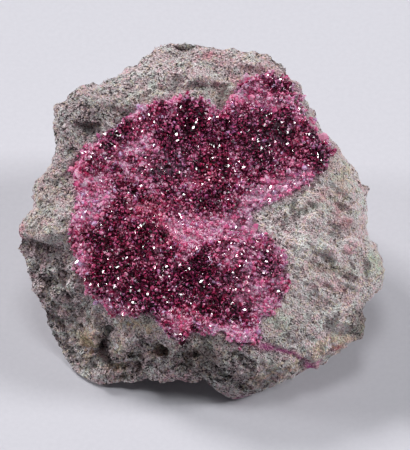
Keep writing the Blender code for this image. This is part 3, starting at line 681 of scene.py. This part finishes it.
# Where the crust turns a greyish mauve, and where it turns a clearer red
MAUVE_PATCHES = [
    (18.0, 8.0, 6.5, 2.4, 25, 0.9), (26.8, 17.6, 1.6, 2.4, -50, 1.0),
    (17.0, -10.0, 2.0, 8.0, 0, 0.9), (14.0, -20.0, 2.0, 2.6, 0, 0.6),
    (8.0, 29.5, 2.4, 2.0, 40, 0.9), (9.5, 1.0, 4.0, 3.0, 0, 0.8), (10.0, -12.0, 4.5, 6.0, 0, 0.7),
    (12.0, -25.0, 3.0, 1.4, 0, 0.7), (-7.0, 12.0, 4.5, 3.5, 0, 0.9), (15.0, 19.0, 6.0, 4.0, 0, 0.5),
    (-13.5, 14.0, 3.5, 4.0, 0, 0.5), (-24.0, 1.5, 2.5, 3.0, 0, 0.5),
]
RED_TINTS = [
    (-12.0, 3.7, 5.5, 3.0, 0, 1.0), (2.5, 11.5, 3.5, 6.0, 0, 0.8), (-8.0, -2.0, 4.0, 3.0, 0, 0.6),
    (-20.0, 12.5, 3.0, 2.0, 0, 0.4), (3.0, -17.6, 6.0, 3.0, 0, 0.5), (21.0, 18.0, 2.0, 3.0, 0, 0.7),
    (-19.0, -7.0, 7.0, 6.0, 0, 0.7), (-26.0, 12.0, 2.0, 3.0, 0, 0.5),
    (-4.0, -21.0, 3.0, 3.0, 0, 0.5),
]
# Unevenness of the tone: size, amount and seed, soft and in clumps
TONE_WAVES = [(3.2, 0.30, 21), (1.4, 0.30, 22)]
TONE_CLUMPS = [(2.1, 0.72, 23), (1.0, 0.20, 24)]
MIDDLE_TONE = 0.42
TONE_STRENGTH = 1.40
PALER_EDGE = 0.50
EDGE_WIDTH = 0.8


def crust_border(flat):
    """Distance to the wavering edge of the crust, positive inside it."""
    return edge_distance(flat, CRUST_OUTLINE) + EDGE_WAVER * waves(flat, EDGE_WAVER_SIZE, 33)


def crust_tone(places):
    """How pale the crust is, from 0 for wine black to 1 for pale pink."""
    flat = places * (1.0, 1.0, 0.0)
    tone = MIDDLE_TONE + TONE_STRENGTH * spots(flat, TONE_PATCHES)
    for size, amount, seed in TONE_WAVES:
        tone += amount * waves(flat, size, seed)
    for size, amount, seed in TONE_CLUMPS:
        tone += amount * (clumps(flat, size, seed) - 0.5)
    return tone + PALER_EDGE * fade(crust_border(flat), EDGE_WIDTH)


def give_tints(mesh, places):
    """Marks where the crust turns mauve and where it turns red."""
    give(mesh, "mauve", cover(places, MAUVE_PATCHES))
    give(mesh, "red", cover(places, RED_TINTS))


bed = bmesh.new()
bed.from_mesh(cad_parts["roselite_crust"].data)
bmesh.ops.remove_doubles(bed, verts=bed.verts[:], dist=WELD_DISTANCE)
bmesh.ops.subdivide_edges(bed, edges=bed.edges[:], cuts=1, use_grid_fill=True)
soften(bed, bed.verts[:], 5)
bmesh.ops.subdivide_edges(bed, edges=bed.edges[:], cuts=1, use_grid_fill=True)
bmesh.ops.triangulate(bed, faces=bed.faces[:])
bed_shape = bpy.data.meshes.new("crust_bed")
bed.to_mesh(bed_shape)
bed.free()
points = read_points(bed_shape)
normals = read_normals(bed_shape)
crumbs = points / MM
rise = sum(amount * waves(crumbs, size, seed) for size, amount, seed in BED_LUMPS) - BED_SINK
rise *= normals @ OUT > BED_SHOWS
sink = EDGE_SINK * fade(crust_border(lay_flat(points) * (1.0, 1.0, 0.0)), EDGE_SINK_WIDTH)
points -= OUT * sink[:, None] * MM
points += normals * rise[:, None] * MM
move_points(bed_shape, points)
places = lay_flat(points)
give(bed_shape, "tone", np.clip(crust_tone(places), 0.0, 1.0))
give_tints(bed_shape, places)
crust_bed = show("crust_bed", bed_shape)

# From the wine black of thick crystals to the pale pink of thin ones
CRYSTAL_TONES = [
    (0.00, (0.030, 0.003, 0.012)), (0.22, (0.135, 0.009, 0.045)), (0.45, (0.450, 0.035, 0.138)),
    (0.72, (0.820, 0.245, 0.510)), (1.00, (1.000, 0.720, 0.880)),
]
BED_RED = (1.0, 0.66, 0.72)
BED_MAUVE = (0.33, 0.20, 0.30)
# How many of each there are to the millimetre, and how deep the crumbs stand, in metres
BED_GRAINS = 1.7
BED_SPECKS = 3.4
BED_BOWLS = 2.6
BED_CRUMB_DEPTH = 0.0003


def bed_links(start):
    """Tiny fused crystals, each with a shade of its own."""
    place = millimetres(start)
    patch = stored(start, ("tone", "mauve", "red"))
    pick = cells(start, place, BED_GRAINS).channel(0)
    speck_pick = cells(start, place, BED_SPECKS).channel(0)
    fine = mottle(start, place, 2.6, 3.0)
    shade = patch["tone"] * 0.95 + pick * 0.62 + speck_pick * 0.45 + fine * 0.3 - 0.74
    colour = start.node("ValToRGB", {"stops": CRYSTAL_TONES}, {0: shade})
    colour = colour.times(BED_RED, patch["red"] * 0.8)
    colour = colour.toward(BED_MAUVE, (patch["mauve"] * fine.between(0.35, 0.6)).limit() * 0.75)
    crumb = 1.0 - bowls(start, place, BED_BOWLS) + fine * 0.5
    bump = {"Strength": 0.9, "Distance": BED_CRUMB_DEPTH, "Height": crumb}
    return {"Base Color": colour, "Normal": start.node("Bump", {}, bump)}


bed_shape.materials.append(
    finish_material("fused_crystal_bed", {"Roughness": 0.34, "IOR": 1.66}, bed_links)
)
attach(crust_bed, "root")
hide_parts("roselite_crust")

# Crystals: short blocky prisms with sloping ends, mostly 0.3 to 1.6 mm wide, fused by
# their roots. They are glassy and slightly translucent, wine black where they are thick
# and pink where they are thin, and larger pale blocks stand in the pink zones.

# A crystal of size 1 has these radii and heights, and a roof tilted by these degrees
ROOT_RADIUS = 0.44
SHOULDER_RADIUS = 0.5
SHANK_HEIGHT = 0.55
ROOF_RISE = 0.38
ROOF_TILT = 24
# Number of sides, half width of the roof, how far it leans over, and flatness
CRYSTAL_SHAPES = [
    (6, 0.30, 0.10, 0.75), (4, 0.42, 0.16, 0.85), (6, 0.16, -0.12, 0.62), (5, 0.34, 0.05, 0.9),
    (4, 0.10, 0.0, 0.7),
]
# Unevenness of the crystals: lean, how far they stand off the ground, stretch and size,
# and how much larger they grow at the crust's edge
CRYSTAL_LEAN = 0.5
ROOT_LIFT = 0.12
STRETCHES = (0.8, 1.25)
SIZE_SPREAD = (0.6, 1.25)
EDGE_GROWTH = 0.25
# Tones between which the ground turns from dark to pale, and how far the crystals' own
# tones stray from the ground's
PALE_GROUND = (0.45, 0.85)
PALER_CRYSTALS = 0.05
TONE_SPREAD = 0.07
STRAY_SHARE = 0.03
STRAY_TONE = 0.9
# The part of the crystal face that the crystals are scattered over, and their unevenness
SCATTER_RIGHTS = (-31.0, 32.0)
SCATTER_UPS = (-30.0, 36.0)
ROW_SPACING = 0.87
SCATTER_JITTER = 0.42
ABOVE_THE_FACE = 60.0
dice = np.random.default_rng(7)


def crystal_forms():
    """A few crystal shapes, each as points and triangles, standing along z."""
    forms = []
    for sides, roof_width, overhang, flatness in CRYSTAL_SHAPES:
        form = bmesh.new()
        bmesh.ops.create_cone(
            form, cap_ends=True, segments=sides,
            radius1=ROOT_RADIUS, radius2=SHOULDER_RADIUS, depth=SHANK_HEIGHT,
        )
        shoulder = max(form.faces, key=lambda face: face.calc_center_median().z)
        roof = bmesh.ops.extrude_discrete_faces(form, faces=[shoulder])["faces"][0]
        bmesh.ops.translate(form, verts=roof.verts[:], vec=(overhang, 0.0, ROOF_RISE))
        middle = roof.calc_center_median()
        bmesh.ops.scale(
            form, verts=roof.verts[:], vec=(roof_width * 2.0, roof_width * 1.2, 1.0),
            space=Matrix.Translation(-middle),
        )
        bmesh.ops.rotate(
            form, verts=roof.verts[:], cent=middle, matrix=Matrix.Rotation(math.radians(ROOF_TILT), 3, "Y")
        )
        bmesh.ops.scale(form, verts=form.verts[:], vec=(1.0, flatness, 1.0))
        bmesh.ops.remove_doubles(form, verts=form.verts[:], dist=1e-5)
        bmesh.ops.triangulate(form, faces=form.faces[:])
        bmesh.ops.recalc_face_normals(form, faces=form.faces[:])
        forms.append((
            np.array([vert.co[:] for vert in form.verts]),
            np.array([[vert.index for vert in face.verts] for face in form.faces]),
        ))
        form.free()
    return forms


def scatter(spacing, seed):
    """Unevenly spread places over the crust, and a little past its edge."""
    draw = np.random.default_rng(seed)
    rights = np.arange(*SCATTER_RIGHTS, spacing)
    ups = np.arange(*SCATTER_UPS, spacing * ROW_SPACING)
    grid = np.array([
        (right + (row % 2) * spacing / 2, up) for row, up in enumerate(ups) for right in rights
    ])
    return grid + draw.uniform(-SCATTER_JITTER, SCATTER_JITTER, grid.shape) * spacing


def surface_of(mesh):
    verts = [vert.co.copy() for vert in mesh.vertices]
    return BVHTree.FromPolygons(verts, [tuple(face.vertices) for face in mesh.polygons])


surfaces = [surface_of(bed_shape), surface_of(rock_shape)]


def ground(spread):
    """Where each place on the crystal face meets the crust bed or the rock, and the slope."""
    hits = []
    for right, up in spread:
        start = Vector(stand_up([(right, up, ABOVE_THE_FACE)])[0])
        met = [surface.ray_cast(start, Vector(-OUT)) for surface in surfaces]
        hits.append(min((hit for hit in met if hit[0]), key=lambda hit: hit[3], default=None))
    return hits


def grow(name, spread, sizes, tones):
    """One mesh of many crystals, each with its own size, lean and tone, and painted light and shade on
    each facet.
    """
    forms = crystal_forms()
    all_points, all_faces, all_tones, all_painted_facet_glows, all_hues = [], [], [], [], []
    first_point = 0
    for hit, size, tone in zip(ground(spread), sizes, tones):
        form_points, form_faces = forms[dice.integers(len(forms))]
        lean = dice.normal(size=3) * CRYSTAL_LEAN
        turn = dice.uniform(0.0, 2.0 * math.pi)
        stretch = dice.uniform(*STRETCHES)
        # A painted brightness for each facet, standing in for light reflected inside the crystal.
        painted_facet_glows = dice.random(len(form_faces))
        hue = dice.random()
        if hit is None:
            continue
        foot, slope = hit[:2]
        axis = (slope + Vector(lean)).normalized()
        across = Matrix.Rotation(turn, 3, axis) @ axis.orthogonal().normalized()
        own_axes = np.array((across, np.cross(axis, across), axis))
        shaped = form_points * (size, size, size * stretch) @ own_axes
        all_points.append(shaped * MM + np.array(foot) + np.array(axis) * size * ROOT_LIFT * MM)
        all_faces.append(form_faces + first_point)
        all_tones.append(np.full(len(form_points), tone))
        all_painted_facet_glows.append(painted_facet_glows)
        all_hues.append(np.full(len(form_points), hue))
        first_point += len(form_points)
    mesh = bpy.data.meshes.new(name)
    mesh.from_pydata(np.concatenate(all_points), [], np.concatenate(all_faces))
    give_tints(mesh, lay_flat(np.concatenate(all_points)))
    give(mesh, "tone", np.concatenate(all_tones))
    give(mesh, "hue", np.concatenate(all_hues))
    layer = mesh.attributes.new("fire", "FLOAT", "FACE")
    layer.data.foreach_set("value", np.concatenate(all_painted_facet_glows).astype(np.float32))
    return show(name, mesh)


CRIMSON_CRYSTAL = (1.0, 0.56, 0.68)
VIOLET_CRYSTAL = (0.80, 0.90, 1.05)
CRYSTAL_RED = (1.0, 0.58, 0.62)
CRYSTAL_MAUVE = (0.34, 0.20, 0.30)


def crystal_links(start):
    """Wine to pink by the crystal's tone, with painted light and shade on the facets, standing in for
    light that glows or dies inside.
    """
    patch = stored(start, ("tone", "fire", "hue", "mauve", "red"))
    hue = patch["hue"]
    # Each facet painted lighter or darker, standing in for the light reflected inside.
    shade = patch["tone"] + patch["fire"].between(0.35, 1.0) * 0.82 - 0.28
    colour = start.node("ValToRGB", {"stops": CRYSTAL_TONES}, {0: shade})
    colour = colour.times(CRIMSON_CRYSTAL, hue.between(0.45, 0.7))
    colour = colour.times(VIOLET_CRYSTAL, (1.0 - hue).between(0.80, 0.95))
    colour = colour.times(CRYSTAL_RED, patch["red"] * 0.8)
    colour = colour.toward(CRYSTAL_MAUVE, patch["mauve"] * (1.0 - hue).between(0.2, 0.8) * 0.45)
    return {"Base Color": colour}


crystal_finish = finish_material(
    "roselite_crystal",
    {"Roughness": 0.06, "IOR": 1.68, "Specular IOR Level": 0.6, "Transmission Weight": 0.1},
    crystal_links,
)


def druse(name, spacing, seed, past_edge, dark_ground, pale_ground):
    """Crystals over the crust; each ground says what share of them stays and their size."""
    spread = scatter(spacing, seed)
    flat = np.column_stack((spread, np.zeros(len(spread))))
    border = crust_border(flat)
    tones = crust_tone(flat)
    keep = border > dice.uniform(-past_edge, past_edge, len(border))
    paleness = shares(tones, *PALE_GROUND)
    (dark_share, dark_size), (pale_share, pale_size) = dark_ground, pale_ground
    keep &= dice.random(len(border)) < dark_share + (pale_share - dark_share) * paleness
    spread, tones, paleness = spread[keep], tones[keep], paleness[keep]
    sizes = (dark_size + (pale_size - dark_size) * paleness) * dice.uniform(*SIZE_SPREAD, len(tones))
    sizes *= 1.0 + EDGE_GROWTH * fade(border[keep], EDGE_WIDTH)
    tones += PALER_CRYSTALS * paleness + dice.normal(0.0, TONE_SPREAD, len(tones))
    strays = dice.random(len(tones)) < STRAY_SHARE
    tones = np.where(strays, STRAY_TONE, np.clip(tones, 0.0, 1.0))
    piece = grow(name, spread, sizes, tones)
    piece.data.materials.append(crystal_finish)
    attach(piece, "root")


# Grounds as (share of the crystals that stay, their size in millimetres)
druse("roselite_crystals", 0.66, 3, 0.15, dark_ground=(0.95, 1.06), pale_ground=(0.28, 0.84))
druse("roselite_small_crystals", 0.58, 5, 0.2, dark_ground=(0.30, 0.66), pale_ground=(0.50, 0.54))
druse("roselite_pink_blocks", 1.1, 9, 0.0, dark_ground=(0.0, 1.0), pale_ground=(0.40, 1.25))

# Floor, lights and camera: a pale studio sweep under four softboxes. The strongest
# stands behind on the left, and the others fill in from both sides and from above.
FLOOR_HALF_WIDTH = 0.9
PAPER_SHADES = [(0.3, (0.672, 0.672, 0.725)), (0.7, (0.697, 0.697, 0.750))]
sweep = bmesh.new()
bmesh.ops.create_grid(sweep, x_segments=1, y_segments=1, size=FLOOR_HALF_WIDTH)
floor_mesh = bpy.data.meshes.new("floor")
sweep.to_mesh(floor_mesh)
sweep.free()
floor = show("floor", floor_mesh)


def floor_links(start):
    """Matt pale paper with the faintest unevenness."""
    fine = mottle(start, start.node("TexCoord", output=3), 900.0, 2.0)
    return {"Base Color": start.node("ValToRGB", {"stops": PAPER_SHADES}, {0: fine})}


floor_mesh.materials.append(
    finish_material("pale_paper", {"Roughness": 0.9, "Specular IOR Level": 0.1}, floor_links)
)

SPECIMEN_MIDDLE = Vector((0.0, 0.0, 0.02))


def softbox(name, toward, distance, width, watts, colour):
    """A square studio light that looks at the specimen from a direction."""
    lamp = bpy.data.lights.new(name, "AREA")
    lamp.shape = "SQUARE"
    lamp.size = width
    lamp.energy = watts
    lamp.color = colour
    light = show(name, lamp)
    way = Vector(toward).normalized()
    light.location = way * distance + SPECIMEN_MIDDLE
    light.rotation_euler = (-way).to_track_quat("-Z", "Y").to_euler()


# Direction, distance and width in metres, power in watts and colour
softbox("key_light", (-0.62, 0.56, 0.66), 4.0, 0.90, 89.0, (1.0, 0.985, 0.985))
softbox("side_light", (0.86, 0.03, 0.52), 3.2, 0.70, 57.0, (1.0, 0.99, 0.995))
softbox("top_light", (0.0, 0.02, 1.0), 2.4, 0.70, 12.2, (0.99, 0.99, 1.0))
softbox("left_light", (-0.93, 0.14, 0.38), 3.2, 0.70, 34.0, (1.0, 0.99, 0.995))

# The room is as pale as the sweep up to its horizon and dim above it
ROOM_SHADES = [
    (0.0, (0.68, 0.685, 0.73)), (0.04, (0.62, 0.625, 0.665)), (0.10, (0.055, 0.056, 0.059)),
    (1.0, (0.080, 0.081, 0.086)),
]
room = bpy.data.worlds.new("pale_room")
bpy.context.scene.world = room
room.use_nodes = True
sky = Wire(room.node_tree)
direction = sky.node("TexCoord")
height_up = sky.node("SeparateXYZ", {}, {0: direction}, output=2)
glow = sky.node("ValToRGB", {"stops": ROOM_SHADES}, {0: height_up})
room.node_tree.links.new(glow.socket, room.node_tree.nodes["Background"].inputs["Color"])

CAMERA_DISTANCE = 0.679
VIEW_CENTRE = (0.98, -0.65, 0.0)  # on the crystal face, in millimetres
camera_data = bpy.data.cameras.new("camera")
camera_data.sensor_width = 36.0
camera_data.lens = 250.0
camera_data.clip_start = 0.05
camera_data.clip_end = 30.0
camera = show("camera", camera_data)
aim = Vector(stand_up([VIEW_CENTRE])[0])
camera.location = aim + Vector(OUT) * CAMERA_DISTANCE
camera.rotation_euler = (-Vector(OUT)).to_track_quat("-Z", "Y").to_euler()
bpy.context.scene.camera = camera
bpy.context.scene.view_settings.view_transform = "Standard"
